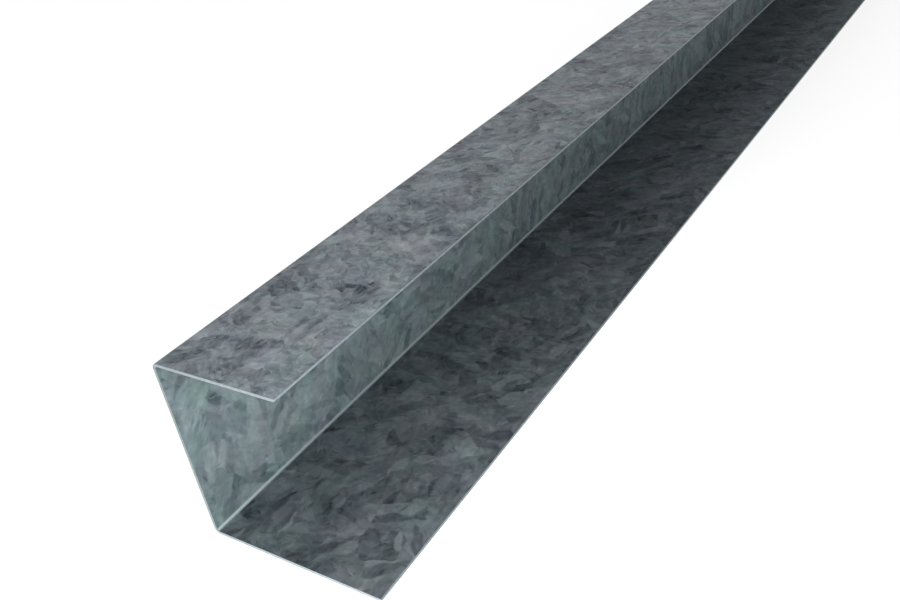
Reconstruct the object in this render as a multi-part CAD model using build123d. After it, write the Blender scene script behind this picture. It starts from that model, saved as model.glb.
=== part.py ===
from build123d import *
import os

# Sizes of the rolled channel, in millimetres. Heights and widths are measured outside.
length = 3600.0
web_height = 28.0
upper_flange_width = 20.0
lower_flange_width = 28.0
sheet_thickness = 0.5
inside_bend_radius = 0.5

# The sheet keeps its thickness round each bend, so the outside of a bend is one sheet larger.
outside_bend_radius = inside_bend_radius + sheet_thickness

# The origin is under the middle of the channel's footprint, on the face that the ceiling
# board meets. X runs along the channel, +Y points at the wall and +Z up.
overall_depth = max(upper_flange_width, lower_flange_width)
wall_side = overall_depth / 2

# Corners of the outside of the section as (Y, Z), from the short upper flange's free edge,
# over the top, down the web and out along the long lower flange.
upper_free_edge = (wall_side - upper_flange_width, web_height)
upper_corner = (wall_side, web_height)
lower_corner = (wall_side, 0)
lower_free_edge = (wall_side - lower_flange_width, 0)


def rolled_section():
    """The J-shaped section of the strip: three flats joined by two tangent bends."""
    with BuildSketch(Plane.YZ) as section:
        with BuildLine():
            FilletPolyline(
                upper_free_edge,
                upper_corner,
                lower_corner,
                lower_free_edge,
                radius=outside_bend_radius,
            )
            offset(amount=sheet_thickness, side=Side.RIGHT)
        make_face()
    return section.sketch


def perimeter_channel():
    """One straight length of channel, its two ends sheared square."""
    channel = extrude(rolled_section(), amount=length / 2, both=True)
    channel.label = "perimeter_channel"
    return channel


os.makedirs("parts", exist_ok=True)
export_step(perimeter_channel(), "parts/perimeter_channel.step")
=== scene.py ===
"""One length of galvanised steel ceiling perimeter channel, lying on a pale studio floor."""
import math

import bmesh
import bpy
from mathutils import Matrix, Vector


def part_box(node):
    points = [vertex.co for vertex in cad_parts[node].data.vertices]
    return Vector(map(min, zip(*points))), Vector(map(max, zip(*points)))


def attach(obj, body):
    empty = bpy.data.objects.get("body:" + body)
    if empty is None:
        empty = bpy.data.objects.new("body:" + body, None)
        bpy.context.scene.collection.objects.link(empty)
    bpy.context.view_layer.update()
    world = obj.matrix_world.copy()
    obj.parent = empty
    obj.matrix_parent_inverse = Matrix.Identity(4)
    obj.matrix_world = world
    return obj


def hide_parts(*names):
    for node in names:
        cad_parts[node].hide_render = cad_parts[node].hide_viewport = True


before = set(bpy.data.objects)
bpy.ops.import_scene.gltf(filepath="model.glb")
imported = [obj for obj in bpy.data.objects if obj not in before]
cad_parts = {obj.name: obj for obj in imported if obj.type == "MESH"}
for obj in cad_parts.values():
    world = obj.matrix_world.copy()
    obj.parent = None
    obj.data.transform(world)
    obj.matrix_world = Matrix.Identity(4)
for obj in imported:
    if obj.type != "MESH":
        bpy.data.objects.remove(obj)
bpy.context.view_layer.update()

bl_info = {
    "name": "Ceiling perimeter channel",
    "version": (1, 0, 0),
    "blender": (4, 5, 0),
    "location": "3D View > Sidebar > Channel",
    "description": "Adds a galvanised steel J-section channel and the stage it is shown on",
    "category": "Add Mesh",
}

MM = 0.001
NODE = "perimeter_channel"

# The skin of the channel laid out flat, and the same skin packed into a square in a few rows.
STRIP_MAP = "strip"
PACKED_MAP = "OFBake"
ROWS = 5
# How deep in the sheet a point lies: -1 on the inside of the channel, 1 on the outside.
DEPTH = "depth"

# Two places on the section are the same if they are closer than this.
NEAR = 0.01 * MM
# This share of each inside bend, along its middle, is drawn lighter as a painted highlight.
HIGHLIGHT_SHARE_OF_BEND = 0.6
# The passivation film raises or lowers red and green by up to this share.
FILM_CAST = 0.09

WHITE = (1, 1, 1, 1)
# The floor reaches so far, in metres, that its border never shows.
FLOOR_SIDE = 60
# This share of what is seen of the floor is plain white, so that shadows on it are faint.
PLAIN_WHITE = 0.67


def section_from_frame():
    """The channel's sizes in metres, read off the construction model."""
    low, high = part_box(NODE)
    corners = [vertex.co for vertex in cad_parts[NODE].data.vertices]
    upper_edge = min(c.y for c in corners if c.z > high.z - NEAR)
    sheet = max(c.z for c in corners if c.y < low.y + NEAR) - low.z
    outside_bend = high.y - max(c.y for c in corners if c.z < low.z + NEAR)
    return {
        "length": high.x - low.x,
        "web_height": high.z - low.z,
        "upper_flange": high.y - upper_edge,
        "lower_flange": high.y - low.y,
        "sheet": sheet,
        "bend_radius": outside_bend - sheet,
        "wall_side": high.y,
        "near_end": low.x,
    }


SECTION = section_from_frame()


def linear(hex_colour):
    """An sRGB hex colour, such as "7A828A", as linear red, green and blue."""
    channels = [int(hex_colour[at : at + 2], 16) / 255 for at in (0, 2, 4)]
    return [c / 12.92 if c <= 0.04045 else ((c + 0.055) / 1.055) ** 2.4 for c in channels]


class ChannelSizes(bpy.types.PropertyGroup):
    """The sizes of the rolled section, taken from the construction model."""

    length: bpy.props.FloatProperty(
        name="Length",
        description="Length of the stock piece",
        default=SECTION["length"],
        unit="LENGTH",
    )
    web_height: bpy.props.FloatProperty(
        name="Web height",
        description="Height over both flanges",
        default=SECTION["web_height"],
        unit="LENGTH",
    )
    upper_flange: bpy.props.FloatProperty(
        name="Upper flange",
        description="Width of the short flange from the back of the web",
        default=SECTION["upper_flange"],
        unit="LENGTH",
    )
    lower_flange: bpy.props.FloatProperty(
        name="Lower flange",
        description="Width of the long flange from the back of the web",
        default=SECTION["lower_flange"],
        unit="LENGTH",
    )
    sheet: bpy.props.FloatProperty(
        name="Sheet",
        description="Thickness of the strip",
        default=SECTION["sheet"],
        unit="LENGTH",
    )
    bend_radius: bpy.props.FloatProperty(
        name="Bend radius",
        description="Inside radius of both bends",
        default=SECTION["bend_radius"],
        unit="LENGTH",
    )
    bend_steps: bpy.props.IntProperty(
        name="Bend steps",
        description="Facets round each quarter bend",
        default=10,
        min=4,
        max=24,
    )
    cut_rounding: bpy.props.FloatProperty(
        name="Cut rounding",
        description="How far the corners of the cut edges are rubbed over",
        default=0.05 * MM,
        unit="LENGTH",
    )


class ZincFinish(bpy.types.PropertyGroup):
    """The colours of the galvanised surfaces and of the cut steel. The inside faces, the inside
    bends and the web's cut ends are lighter or darker copies of the same zinc and steel: painted
    light, painted shade and a painted highlight.
    """

    outside: bpy.props.FloatVectorProperty(
        name="Outside",
        description="Zinc on the outside faces",
        default=linear("5C6368"),
        subtype="COLOR",
    )
    # Lighter and greener than the outside zinc: painted light and painted reflection on the web's
    # inner face.
    web_inside_painted_light: bpy.props.FloatVectorProperty(
        name="Inside of the web",
        description="Zinc on the web's inner face",
        default=linear("687578"),
        subtype="COLOR",
    )
    # Darker than the outside zinc: painted shade in the hollow of the channel.
    flange_inside_painted_shade: bpy.props.FloatVectorProperty(
        name="Inside of the flanges",
        description="Zinc on the flanges' inner faces",
        default=linear("51585C"),
        subtype="COLOR",
    )
    # Lighter than the inside zinc: a painted highlight along the middle of the inside bends.
    bend: bpy.props.FloatVectorProperty(
        name="Bend",
        description="Zinc burnished by the rolls in the bends",
        default=linear("757F82"),
        subtype="COLOR",
    )
    sheared: bpy.props.FloatVectorProperty(
        name="Sheared flange ends",
        description="Bare steel across the ends of the flanges",
        default=linear("A7B2B7"),
        subtype="COLOR",
    )
    # Darker and greener than the flanges' sheared ends: painted shade on the same bare steel.
    sheared_web_painted_shade: bpy.props.FloatVectorProperty(
        name="Sheared web ends",
        description="Bare steel across the ends of the web",
        default=linear("99A5A6"),
        subtype="COLOR",
    )
    slit: bpy.props.FloatVectorProperty(
        name="Slit edges",
        description="Long edges of the strip, slit before it was rolled",
        default=linear("737D81"),
        subtype="COLOR",
    )


class Developed:
    """Where a point of the section lies on the flat strip that it was rolled from."""

    def __init__(self, sizes):
        self.half = sizes.sheet / 2
        self.radius = sizes.bend_radius + self.half
        self.web_plane = SECTION["wall_side"] - self.half
        self.top_plane = sizes.web_height - self.half
        self.bend_y = self.web_plane - self.radius
        self.low_bend_z = self.half + self.radius
        self.top_bend_z = self.top_plane - self.radius
        self.low_edge = SECTION["wall_side"] - sizes.lower_flange
        self.top_edge = SECTION["wall_side"] - sizes.upper_flange
        self.arc = self.radius * math.pi / 2
        self.web_start = self.bend_y - self.low_edge + self.arc
        self.web_end = self.web_start + self.top_bend_z - self.low_bend_z
        self.width = self.web_end + self.arc + self.bend_y - self.top_edge

    def place(self, y, z):
        """How far across the strip a point lies, and how far out of the middle of the sheet.

        Across is from the lower free edge, and out is positive towards the channel's outside.
        """
        if y <= self.bend_y and z < self.low_bend_z:
            return y - self.low_edge, self.half - z
        if y <= self.bend_y and z > self.top_bend_z:
            return self.web_end + self.arc + self.bend_y - y, z - self.top_plane
        if z < self.low_bend_z:
            turned = math.atan2(y - self.bend_y, self.low_bend_z - z)
            out = math.hypot(y - self.bend_y, self.low_bend_z - z)
            return self.bend_y - self.low_edge + self.radius * turned, out - self.radius
        if z > self.top_bend_z:
            turned = math.atan2(z - self.top_bend_z, y - self.bend_y)
            out = math.hypot(y - self.bend_y, z - self.top_bend_z)
            return self.web_end + self.radius * turned, out - self.radius
        return self.web_start + z - self.low_bend_z, y - self.web_plane


def add_node(tree, kind, inputs=None, **settings):
    """Adds a node with its settings. An input takes a value, or another node's output."""
    node = tree.nodes.new(kind)
    for name, value in settings.items():
        setattr(node, name, value)
    for key, value in (inputs or {}).items():
        if isinstance(value, bpy.types.NodeSocket):
            tree.links.new(value, node.inputs[key])
        else:
            node.inputs[key].default_value = value
    return node


def new_material(name):
    """An empty node material, its tree and its output node."""
    material = bpy.data.materials.new(name)
    material.use_nodes = True
    tree = material.node_tree
    tree.nodes.clear()
    return material, tree, add_node(tree, "ShaderNodeOutputMaterial")


def wandering_place(tree, place):
    """The place pushed about, mostly by up to 0.4 mm, because crystal borders wander."""
    wave_length = 2.5
    reach = 1.4
    wander = add_node(
        tree,
        "ShaderNodeTexNoise",
        {"Vector": place, "Scale": 1 / wave_length, "Detail": 5.0, "Roughness": 0.6},
        noise_dimensions="2D",
    )
    push = add_node(
        tree,
        "ShaderNodeVectorMath",
        {0: wander.outputs["Color"], 1: (0.5, 0.5, 0.5)},
        operation="SUBTRACT",
    )
    bent = add_node(
        tree,
        "ShaderNodeVectorMath",
        {0: push.outputs["Vector"], 1: (reach, reach, 0.0), 2: place},
        operation="MULTIPLY_ADD",
    )
    return bent.outputs["Vector"]


def crystal_layer(tree, place, grain_size, shard_length, shard_width):
    """Crystals of zinc seen from above: grains, each full of shards that lie its own way.

    The sizes are in millimetres. Gives the grain's random numbers, its shards, and the stretched
    place that they are drawn on.
    """
    grain = add_node(
        tree,
        "ShaderNodeTexVoronoi",
        {"Vector": place, "Scale": 1 / grain_size},
        voronoi_dimensions="2D",
    )
    dice = add_node(tree, "ShaderNodeSeparateColor", {"Color": grain.outputs["Color"]})
    from_seed = add_node(
        tree,
        "ShaderNodeVectorMath",
        {0: place, 1: grain.outputs["Position"]},
        operation="SUBTRACT",
    )
    heading = add_node(
        tree,
        "ShaderNodeMath",
        {0: dice.outputs["Red"], 1: 2 * math.pi},
        operation="MULTIPLY",
    )
    turned = add_node(
        tree,
        "ShaderNodeVectorRotate",
        {"Vector": from_seed.outputs["Vector"], "Angle": heading.outputs["Value"]},
        rotation_type="Z_AXIS",
    )
    drawn_out = add_node(
        tree,
        "ShaderNodeVectorMath",
        {0: turned.outputs["Vector"], 1: (1 / shard_length, 1 / shard_width, 0.0)},
        operation="MULTIPLY",
    )
    # Each grain draws its shards far from the other grains', so that no two grains are alike.
    apart = 40.0
    cells = add_node(
        tree,
        "ShaderNodeVectorMath",
        {0: grain.outputs["Color"], 1: (apart, apart, 0.0), 2: drawn_out.outputs["Vector"]},
        operation="MULTIPLY_ADD",
    )
    shard = add_node(
        tree,
        "ShaderNodeTexVoronoi",
        {"Vector": cells.outputs["Vector"], "Scale": 1.0},
        voronoi_dimensions="2D",
    )
    return dice, shard, cells.outputs["Vector"]


def crystal_light(tree, shard_dice, shard_place, needle):
    """How light or dark the shards and needles are, about 0 on average."""
    # A shard is strongest in its middle and fades towards its border.
    border = add_node(
        tree,
        "ShaderNodeTexVoronoi",
        {"Vector": shard_place, "Scale": 1.0},
        voronoi_dimensions="2D",
        feature="DISTANCE_TO_EDGE",
    )
    shard_fade = add_node(
        tree,
        "ShaderNodeMapRange",
        {"Value": border.outputs["Distance"], "From Max": 0.16, "To Min": 0.45},
        interpolation_type="SMOOTHSTEP",
    )
    # A few shards are much darker than the rest.
    shard_light = add_node(
        tree,
        "ShaderNodeMath",
        {0: shard_dice.outputs["Red"], 1: 0.7},
        operation="POWER",
    )
    # A fine crystal shows as a needle with pointed ends.
    needle_dice = add_node(tree, "ShaderNodeSeparateColor", {"Color": needle.outputs["Color"]})
    needle_fade = add_node(
        tree,
        "ShaderNodeMapRange",
        {
            "Value": needle.outputs["Distance"],
            "From Min": 0.1,
            "From Max": 0.4,
            "To Min": 1.5,
            "To Max": 0.4,
        },
        interpolation_type="SMOOTHSTEP",
    )
    level = 0.0
    for light, middle, weight, fade in (
        (shard_light.outputs["Value"], 0.59, 1.8, shard_fade.outputs["Result"]),
        (needle_dice.outputs["Red"], 0.5, 1.3, needle_fade.outputs["Result"]),
    ):
        centred = add_node(
            tree,
            "ShaderNodeMath",
            {0: light, 1: weight, 2: -middle * weight},
            operation="MULTIPLY_ADD",
        )
        summed = add_node(
            tree,
            "ShaderNodeMath",
            {0: centred.outputs["Value"], 1: fade, 2: level},
            operation="MULTIPLY_ADD",
        )
        level = summed.outputs["Value"]
    return level


def film_tint(tree, shard, film):
    """The green, brown or blue cast of the passivation film, as shares of each colour."""
    # The film's colour drifts over the faces, and each shard takes it up in its own way.
    own_way = 0.12
    hue = add_node(
        tree,
        "ShaderNodeVectorMath",
        {0: shard.outputs["Color"], 1: (own_way, own_way, own_way), 2: film.outputs["Color"]},
        operation="MULTIPLY_ADD",
    )
    # The X of the noise is its clouds, so red and green follow its Y and Z, and blue stays.
    hues = add_node(tree, "ShaderNodeSeparateXYZ", {"Vector": hue.outputs["Vector"]})
    red_green = add_node(
        tree,
        "ShaderNodeCombineXYZ",
        {"X": hues.outputs["Y"], "Y": hues.outputs["Z"]},
    )
    tint = add_node(
        tree,
        "ShaderNodeMapRange",
        {
            "Vector": red_green.outputs["Vector"],
            "From Min": (0.2, 0.2, 0.2),
            "From Max": (0.92, 0.92, 0.92),
            "To Min": (1 - FILM_CAST, 1 - FILM_CAST, 1),
            "To Max": (1 + FILM_CAST, 1 + FILM_CAST, 1),
        },
        data_type="FLOAT_VECTOR",
    )
    return tint.outputs["Vector"]


def spangled_zinc(name, colour, seed, coarse, fine, clouds, contrast, warmth):
    """Hot-dip galvanised zinc: coarse crystals with finer ones grown across them.

    The eye sees soft angular patches of lighter and darker grey, thin needles and borders among
    them, and faint green, brown or blue casts from the passivation film. coarse and fine are each
    (grain size, shard length, shard width) in millimetres. clouds is how strongly the thicker film
    darkens, contrast how far the crystals differ, and warmth how much redder the light ones are.
    """
    material, tree, out = new_material(name)
    strip = add_node(tree, "ShaderNodeUVMap", uv_map=STRIP_MAP)
    in_mm = add_node(
        tree,
        "ShaderNodeMapping",
        {"Vector": strip.outputs["UV"], "Scale": (1 / MM, 1 / MM, 1), "Location": (seed, seed, 0)},
    )
    place = in_mm.outputs["Vector"]
    bent = wandering_place(tree, place)
    grain, shard, shard_place = crystal_layer(tree, bent, *coarse)
    small_grain, needle, _ = crystal_layer(tree, bent, *fine)
    shard_dice = add_node(tree, "ShaderNodeSeparateColor", {"Color": shard.outputs["Color"]})
    fleck = 1.2
    mottle = add_node(
        tree,
        "ShaderNodeTexNoise",
        {"Vector": place, "Scale": 1 / fleck, "Detail": 4.0, "Roughness": 0.6},
        noise_dimensions="2D",
    )
    # The rolls leave faint marks, close together, that run the length of the channel.
    mark_length = 300
    mark_spacing = 0.4
    along = add_node(
        tree,
        "ShaderNodeVectorMath",
        {0: place, 1: (1 / mark_length, 1 / mark_spacing, 0.0)},
        operation="MULTIPLY",
    )
    roll_marks = add_node(
        tree,
        "ShaderNodeTexNoise",
        {"Vector": along.outputs["Vector"], "Scale": 1.0, "Detail": 2.0},
        noise_dimensions="2D",
    )
    cloud_size = 6.0
    film = add_node(
        tree,
        "ShaderNodeTexNoise",
        {"Vector": place, "Scale": 1 / cloud_size, "Detail": 3.0},
        noise_dimensions="2D",
    )
    level = crystal_light(tree, shard_dice, shard_place, needle)
    for part, weight in (
        (grain.outputs["Green"], 0.7),
        (small_grain.outputs["Green"], 0.5),
        (mottle.outputs["Fac"], 1.8),
        (roll_marks.outputs["Fac"], 0.4),
        (film.outputs["Fac"], clouds),
    ):
        centred = add_node(tree, "ShaderNodeMath", {0: part, 1: 0.5}, operation="SUBTRACT")
        summed = add_node(
            tree,
            "ShaderNodeMath",
            {0: centred.outputs["Value"], 1: weight, 2: level},
            operation="MULTIPLY_ADD",
        )
        level = summed.outputs["Value"]
    # Light crystals are a little warmer and dark ones a little bluer.
    coolness = 0.93
    by_colour = ((1 + warmth) * contrast, contrast, coolness * contrast)
    shade = add_node(
        tree,
        "ShaderNodeVectorMath",
        {0: level, 1: by_colour, 2: (1.0, 1.0, 1.0)},
        operation="MULTIPLY_ADD",
    )
    zinc = add_node(
        tree,
        "ShaderNodeVectorMath",
        {0: tuple(colour), 1: shade.outputs["Vector"]},
        operation="MULTIPLY",
    )
    tinted = add_node(
        tree,
        "ShaderNodeVectorMath",
        {0: zinc.outputs["Vector"], 1: film_tint(tree, shard, film)},
        operation="MULTIPLY",
    )
    dullness = add_node(
        tree,
        "ShaderNodeMapRange",
        {"Value": shard_dice.outputs["Green"], "To Min": 0.48, "To Max": 0.66},
    )
    relief = add_node(
        tree,
        "ShaderNodeBump",
        {"Height": mottle.outputs["Fac"], "Distance": 0.02 * MM, "Strength": 0.5},
    )
    surface = add_node(
        tree,
        "ShaderNodeBsdfPrincipled",
        {
            "Base Color": tinted.outputs["Vector"],
            "Metallic": 0.75,
            "Roughness": dullness.outputs["Result"],
            "Normal": relief.outputs["Normal"],
        },
    )
    tree.links.new(surface.outputs["BSDF"], out.inputs["Surface"])
    return material


def bend_highlight_zinc(name, colour):
    """Zinc in the tight inside bends, lighter than the zinc beside it: a painted highlight that
    shows as one bright line.
    """
    material, tree, out = new_material(name)
    surface = add_node(
        tree,
        "ShaderNodeBsdfPrincipled",
        {"Base Color": (*colour, 1), "Metallic": 0.8, "Roughness": 0.5},
    )
    tree.links.new(surface.outputs["BSDF"], out.inputs["Surface"])
    return material


def sheared_steel(name, colour, burnished):
    """Sheared mild steel, bare of zinc, with fine score lines.

    The blade leaves a bright burnished band along the middle of the cut. The rest, torn or rolled
    over, is duller. burnished is the share of the sheet that the band takes up.
    """
    material, tree, out = new_material(name)
    depth = add_node(tree, "ShaderNodeAttribute", attribute_name=DEPTH)
    off_middle = add_node(
        tree,
        "ShaderNodeMath",
        {0: depth.outputs["Fac"]},
        operation="ABSOLUTE",
    )
    border = 0.15
    band = add_node(
        tree,
        "ShaderNodeMapRange",
        {
            "Value": off_middle.outputs["Value"],
            "From Min": burnished - border,
            "From Max": burnished + border,
            "To Min": 1.0,
            "To Max": 0.4,
        },
        interpolation_type="SMOOTHSTEP",
    )
    place = add_node(tree, "ShaderNodeTexCoord")
    score_spacing = 0.6 * MM
    scores = add_node(
        tree,
        "ShaderNodeTexNoise",
        {"Vector": place.outputs["Object"], "Scale": 1 / score_spacing, "Detail": 2.0},
    )
    shade = add_node(
        tree,
        "ShaderNodeMapRange",
        {
            "Value": scores.outputs["Fac"],
            "From Min": 0.3,
            "From Max": 0.7,
            "To Min": 0.85,
            "To Max": 1.1,
        },
    )
    light = add_node(
        tree,
        "ShaderNodeMath",
        {0: shade.outputs["Result"], 1: band.outputs["Result"]},
        operation="MULTIPLY",
    )
    steel = add_node(
        tree,
        "ShaderNodeVectorMath",
        {0: tuple(colour), "Scale": light.outputs["Value"]},
        operation="SCALE",
    )
    surface = add_node(
        tree,
        "ShaderNodeBsdfPrincipled",
        {"Base Color": steel.outputs["Vector"], "Metallic": 0.9, "Roughness": 0.4},
    )
    tree.links.new(surface.outputs["BSDF"], out.inputs["Surface"])
    return material


def channel_finishes(colours):
    """The finish of each part of the channel, under the part's name."""
    return {
        "outside": spangled_zinc(
            "spangled zinc outside",
            colours.outside,
            seed=0.0,
            coarse=(5.0, 2.5, 1.0),
            fine=(2.5, 1.4, 0.4),
            clouds=2.9,
            contrast=0.42,
            warmth=0.06,
        ),
        # The web's inner face: the same zinc drawn lighter and greener, as painted light and
        # reflection.
        "web_inside_painted_light": spangled_zinc(
            "spangled zinc in the web, painted light",
            colours.web_inside_painted_light,
            seed=211.0,
            coarse=(8.0, 5.0, 1.5),
            fine=(4.0, 2.6, 0.6),
            clouds=1.5,
            contrast=0.29,
            warmth=0.08,
        ),
        # The flanges' inner faces: the same zinc drawn darker, as painted shade.
        "flange_inside_painted_shade": spangled_zinc(
            "spangled zinc on the inner flanges, painted shade",
            colours.flange_inside_painted_shade,
            seed=430.0,
            coarse=(6.0, 4.5, 1.6),
            fine=(3.0, 2.4, 0.7),
            clouds=1.7,
            contrast=0.40,
            warmth=0.02,
        ),
        # The inside bends: a painted highlight.
        "bend": bend_highlight_zinc("zinc in the inside bends, painted highlight", colours.bend),
        "sheared": sheared_steel(
            "sheared steel across the flanges", colours.sheared, burnished=0.8
        ),
        # The web's cut ends: the same sheared steel drawn darker, as painted shade.
        "sheared_web_painted_shade": sheared_steel(
            "sheared steel across the web, painted shade", colours.sheared_web_painted_shade, burnished=0.8
        ),
        "slit": sheared_steel("slit edge of the strip", colours.slit, burnished=0.65),
    }


def in_edit_mode(piece):
    """Opens the piece for editing by edges, with nothing selected."""
    bpy.context.view_layer.objects.active = piece
    bpy.ops.object.mode_set(mode="EDIT")
    bpy.ops.mesh.select_mode(type="EDGE")
    bpy.ops.mesh.select_all(action="DESELECT")


def select_edges(piece, wanted):
    """Selects the edges that lie along the channel and whose middle passes the test."""
    bpy.ops.mesh.select_all(action="DESELECT")
    mesh = bmesh.from_edit_mesh(piece.data)
    for edge in mesh.edges:
        start, end = (piece.matrix_world @ vertex.co for vertex in edge.verts)
        along = abs(start.x - end.x) > NEAR
        edge.select_set(along and wanted((start + end) / 2))
    mesh.select_flush_mode()
    bmesh.update_edit_mesh(piece.data)


def fold_strip(sizes, strip):
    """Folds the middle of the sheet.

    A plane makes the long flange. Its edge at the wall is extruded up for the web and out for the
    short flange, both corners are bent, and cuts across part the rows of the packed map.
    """
    bpy.ops.object.select_all(action="DESELECT")
    width = strip.web_plane - strip.low_edge
    centre = (SECTION["near_end"] + sizes.length / 2, strip.web_plane - width / 2, strip.half)
    bpy.ops.mesh.primitive_plane_add(size=sizes.length, calc_uvs=False, location=centre)
    piece = bpy.context.object
    piece.name = NODE + "_sheet"
    in_edit_mode(piece)
    bpy.ops.mesh.select_all(action="SELECT")
    bpy.ops.transform.resize(value=(1, width / sizes.length, 1), center_override=centre)
    select_edges(piece, lambda middle: middle.y > strip.web_plane - NEAR)
    rise = strip.top_plane - strip.half
    bpy.ops.mesh.extrude_edges_move(TRANSFORM_OT_translate={"value": (0, 0, rise)})
    reach = strip.top_edge - strip.web_plane
    bpy.ops.mesh.extrude_edges_move(TRANSFORM_OT_translate={"value": (0, reach, 0)})
    select_edges(piece, lambda middle: middle.y > strip.web_plane - NEAR)
    bpy.ops.mesh.bevel(
        offset=strip.radius,
        offset_type="OFFSET",
        segments=sizes.bend_steps,
        affect="EDGES",
    )
    bpy.ops.mesh.select_all(action="SELECT")
    bpy.ops.mesh.normals_make_consistent(inside=False)
    for row in range(1, ROWS):
        bpy.ops.mesh.select_all(action="SELECT")
        cut = (SECTION["near_end"] + sizes.length * row / ROWS, 0, 0)
        bpy.ops.mesh.bisect(plane_co=cut, plane_no=(1, 0, 0))
    bpy.ops.object.mode_set(mode="OBJECT")
    bpy.ops.object.transform_apply(location=True, rotation=True, scale=True)
    return piece


def apply_modifier(piece, kind, **settings):
    """Adds a modifier with its settings and applies it."""
    modifier = piece.modifiers.new(kind.title(), kind)
    for name, value in settings.items():
        setattr(modifier, name, value)
    bpy.context.view_layer.objects.active = piece
    bpy.ops.object.modifier_apply(modifier=modifier.name)


def map_strip(piece, strip):
    """Lays the channel's skin out flat, in metres, so that the spangle runs round the bends."""
    layer = piece.data.uv_layers.new(name=STRIP_MAP)
    for loop in piece.data.loops:
        point = piece.data.vertices[loop.vertex_index].co
        across, _ = strip.place(point.y, point.z)
        layer.data[loop.index].uv = (point.x - SECTION["near_end"], across)


def mark_depth(piece, strip):
    """Gives each point its depth in the sheet, for the band on the sheared edges."""
    depth = piece.data.attributes.new(DEPTH, "FLOAT", "POINT")
    for vertex in piece.data.vertices:
        _, out = strip.place(vertex.co.y, vertex.co.z)
        depth.data[vertex.index].value = out / strip.half


def part_of(face, sizes, strip):
    """Which part of the channel a face belongs to, and how far across the strip it lies."""
    across, out = strip.place(face.center.y, face.center.z)
    low_bend = strip.web_start - strip.arc / 2
    top_bend = strip.web_end + strip.arc / 2
    on_web = low_bend < across < top_bend
    # Cut edges and their rubbed corners lie between the two skins of the sheet.
    if abs(out) < strip.half - sizes.cut_rounding / 4:
        looks_along = abs(face.normal.x) >= 0.5
        if not looks_along:
            return "slit", across
        return ("sheared_web_painted_shade" if on_web else "sheared"), across
    if out > 0:
        return "outside", across
    # The middle of each inside bend gets the painted highlight, the web's inner face painted light
    # and the flanges' inner faces painted shade.
    off_bend = min(abs(across - low_bend), abs(across - top_bend))
    if off_bend < HIGHLIGHT_SHARE_OF_BEND * strip.arc / 2:
        return "bend", across
    return ("web_inside_painted_light" if on_web else "flange_inside_painted_shade"), across


def paint_faces(piece, sizes, strip, finishes):
    """Gives each face the finish of its own part of the channel."""
    names = list(finishes)
    for name in names:
        piece.data.materials.append(finishes[name])
    for face in piece.data.polygons:
        part, _ = part_of(face, sizes, strip)
        face.material_index = names.index(part)


def map_packed(piece, sizes, strip):
    """Packs the whole skin into a square, for the export.

    Each row is one stretch of the channel, with its outside, its inside, its two slit edges and
    its sheared ends one above the other. The thin edges are drawn wider than they are.
    """
    layer = piece.data.uv_layers.new(name=PACKED_MAP)
    gap = 1.5 * MM
    edge = 2 * MM
    margin = 0.003
    inside = strip.width + gap
    low_slit = inside + strip.width + gap
    top_slit = low_slit + edge + gap
    sheared = top_slit + edge + gap
    row_height = sheared + edge + gap
    row_length = sizes.length / ROWS
    for face in piece.data.polygons:
        part, middle = part_of(face, sizes, strip)
        row = min(int((face.center.x - SECTION["near_end"]) / row_length), ROWS - 1)
        row_start = SECTION["near_end"] + row * row_length
        for index in face.loop_indices:
            point = piece.data.vertices[piece.data.loops[index].vertex_index].co
            across, out = strip.place(point.y, point.z)
            along = point.x - row_start
            through = (out / strip.half + 1) / 2 * edge
            if part == "outside":
                up = across
            elif part == "slit":
                up = (low_slit if middle < strip.width / 2 else top_slit) + through
            elif part in ("sheared", "sheared_web_painted_shade"):
                along = across
                up = sheared + through
            else:
                up = inside + across
            layer.data[index].uv = (
                margin + (1 - 2 * margin) * along / row_length,
                (row + (up + gap / 2) / row_height) / ROWS,
            )


class CHANNEL_OT_add_channel(bpy.types.Operator):
    """Rolls the strip into the channel and gives it its galvanised finish"""

    bl_idname = "perimeter_channel.add_channel"
    bl_label = "Add channel"

    def execute(self, context):
        sizes = context.scene.channel_sizes
        strip = Developed(sizes)
        piece = fold_strip(sizes, strip)
        apply_modifier(piece, "SOLIDIFY", thickness=sizes.sheet, offset=0, use_even_offset=True)
        # The limit leaves the bends alone and takes only the square corners of the cuts.
        apply_modifier(
            piece,
            "BEVEL",
            width=sizes.cut_rounding,
            segments=2,
            limit_method="ANGLE",
            angle_limit=math.radians(60),
        )
        map_strip(piece, strip)
        map_packed(piece, sizes, strip)
        mark_depth(piece, strip)
        paint_faces(piece, sizes, strip, channel_finishes(context.scene.zinc_finish))
        for face in piece.data.polygons:
            face.use_smooth = True
        apply_modifier(piece, "WEIGHTED_NORMAL", keep_sharp=True)
        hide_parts(NODE)
        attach(piece, "root")
        return {"FINISHED"}


class CHANNEL_OT_add_stage(bpy.types.Operator):
    """Adds the pale floor, the soft lamps, the white surround and the camera"""

    bl_idname = "perimeter_channel.add_stage"
    bl_label = "Add stage"

    def execute(self, context):
        add_floor()
        add_lamps()
        add_surround(context.scene)
        add_camera(context.scene)
        return {"FINISHED"}


def seen_directly(tree):
    """1 for rays that show the white studio: from the camera, off metal or through glass."""
    path = add_node(tree, "ShaderNodeLightPath")
    seen = path.outputs["Is Camera Ray"]
    for ray in ("Is Glossy Ray", "Is Transmission Ray"):
        either = add_node(
            tree,
            "ShaderNodeMath",
            {0: seen, 1: path.outputs[ray]},
            operation="MAXIMUM",
        )
        seen = either.outputs["Value"]
    return seen


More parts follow.
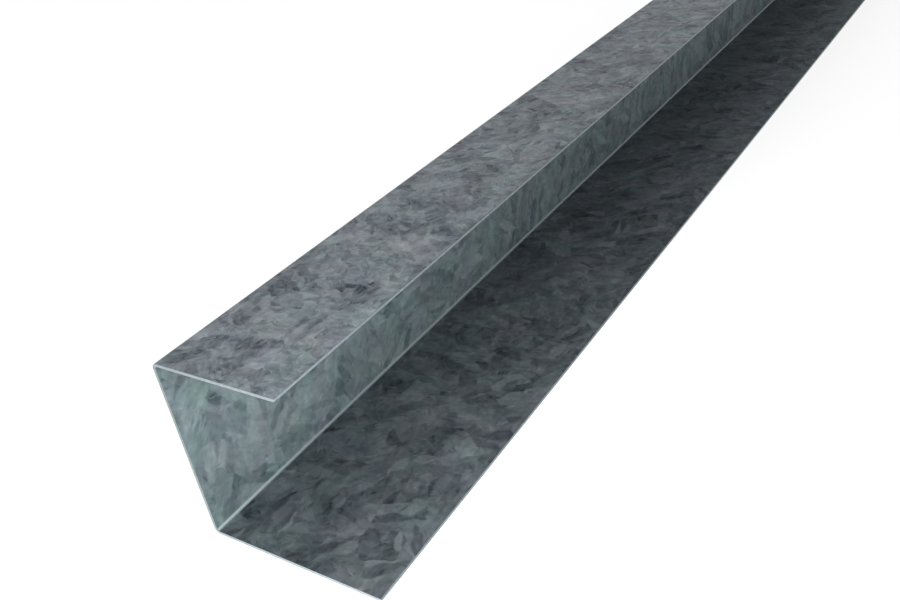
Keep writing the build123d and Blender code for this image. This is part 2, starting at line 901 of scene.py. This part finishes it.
def add_floor():
    """A wide white floor, with the faint shadow of the channel."""
    bpy.ops.object.select_all(action="DESELECT")
    bpy.ops.mesh.primitive_plane_add(size=FLOOR_SIDE, location=(0, 0, 0))
    floor = bpy.context.object
    floor.name = "studio_floor"
    material, tree, out = new_material("matt white floor paint")
    paint = add_node(tree, "ShaderNodeBsdfDiffuse", {"Color": WHITE})
    white = add_node(tree, "ShaderNodeEmission", {"Color": WHITE, "Strength": 1.0})
    share = add_node(
        tree,
        "ShaderNodeMath",
        {0: seen_directly(tree), 1: PLAIN_WHITE},
        operation="MULTIPLY",
    )
    surface = add_node(
        tree,
        "ShaderNodeMixShader",
        {"Fac": share.outputs["Value"], 1: paint.outputs["BSDF"], 2: white.outputs["Emission"]},
    )
    tree.links.new(surface.outputs["Shader"], out.inputs["Surface"])
    floor.data.materials.append(material)


def add_area_lamp(name, place, aim, side, power):
    """A soft square lamp at place, facing aim, that the camera doesn't see."""
    light = bpy.data.lights.new(name, "AREA")
    light.size = side
    light.energy = power
    lamp = bpy.data.objects.new(name, light)
    bpy.context.scene.collection.objects.link(lamp)
    lamp.location = place
    lamp.rotation_mode = "QUATERNION"
    lamp.rotation_quaternion = (Vector(aim) - Vector(place)).to_track_quat("-Z", "Y")
    lamp.visible_camera = False


def add_lamps():
    """Two small soft lamps at the near end: one above it and one low beside the open side."""
    near = SECTION["near_end"]
    above = (near - 0.03, -0.03, 0.10)
    beside = (near, -0.05, 0.04)
    aim = (near + 0.03, -0.01, 0.01)
    add_area_lamp("lamp_above", above, aim, side=0.04, power=0.095)
    add_area_lamp("lamp_beside", beside, aim, side=0.04, power=0.082)


def add_surround(scene):
    """An even white surround, which lights the channel softly from all round."""
    world = bpy.data.worlds.new("white studio")
    scene.world = world
    world.use_nodes = True
    tree = world.node_tree
    tree.nodes.clear()
    out = add_node(tree, "ShaderNodeOutputWorld")
    white = add_node(tree, "ShaderNodeBackground", {"Color": WHITE, "Strength": 1.0})
    tree.links.new(white.outputs["Background"], out.inputs["Surface"])
    scene.view_settings.view_transform = "Standard"


def add_camera(scene):
    """The photograph's view: close to the near end, looking down along the channel."""
    camera = bpy.data.objects.new("camera", bpy.data.cameras.new("camera"))
    scene.collection.objects.link(camera)
    scene.camera = camera
    camera.data.sensor_width = 36.0
    camera.data.lens = 36.89
    camera.data.clip_start = 0.005
    forward = Vector((0.68379, 0.52814, -0.50348))
    roll = math.radians(-10.18)
    turn = forward.to_track_quat("-Z", "Y").to_matrix() @ Matrix.Rotation(roll, 3, "Z")
    before_end = 0.052514
    clear_of_wall = 0.086656
    above_floor = 0.084251
    place = (SECTION["near_end"] - before_end, SECTION["wall_side"] - clear_of_wall, above_floor)
    camera.matrix_world = Matrix.Translation(place) @ turn.to_4x4()


class CHANNEL_PT_sidebar(bpy.types.Panel):
    """The channel's sizes, colours and steps"""

    bl_label = "Perimeter channel"
    bl_idname = "CHANNEL_PT_sidebar"
    bl_space_type = "VIEW_3D"
    bl_region_type = "UI"
    bl_category = "Channel"

    def draw(self, context):
        for group in (context.scene.channel_sizes, context.scene.zinc_finish):
            box = self.layout.box()
            for name in group.bl_rna.properties.keys():
                if name not in ("rna_type", "name"):
                    box.prop(group, name)
        for operator in (CHANNEL_OT_add_channel, CHANNEL_OT_add_stage):
            self.layout.operator(operator.bl_idname)


CLASSES = (
    ChannelSizes,
    ZincFinish,
    CHANNEL_OT_add_channel,
    CHANNEL_OT_add_stage,
    CHANNEL_PT_sidebar,
)


def register():
    for one in CLASSES:
        bpy.utils.register_class(one)
    bpy.types.Scene.channel_sizes = bpy.props.PointerProperty(type=ChannelSizes)
    bpy.types.Scene.zinc_finish = bpy.props.PointerProperty(type=ZincFinish)


def unregister():
    del bpy.types.Scene.zinc_finish
    del bpy.types.Scene.channel_sizes
    for one in reversed(CLASSES):
        bpy.utils.unregister_class(one)


def main():
    register()
    bpy.ops.perimeter_channel.add_channel()
    bpy.ops.perimeter_channel.add_stage()


if __name__ == "__main__":
    main()
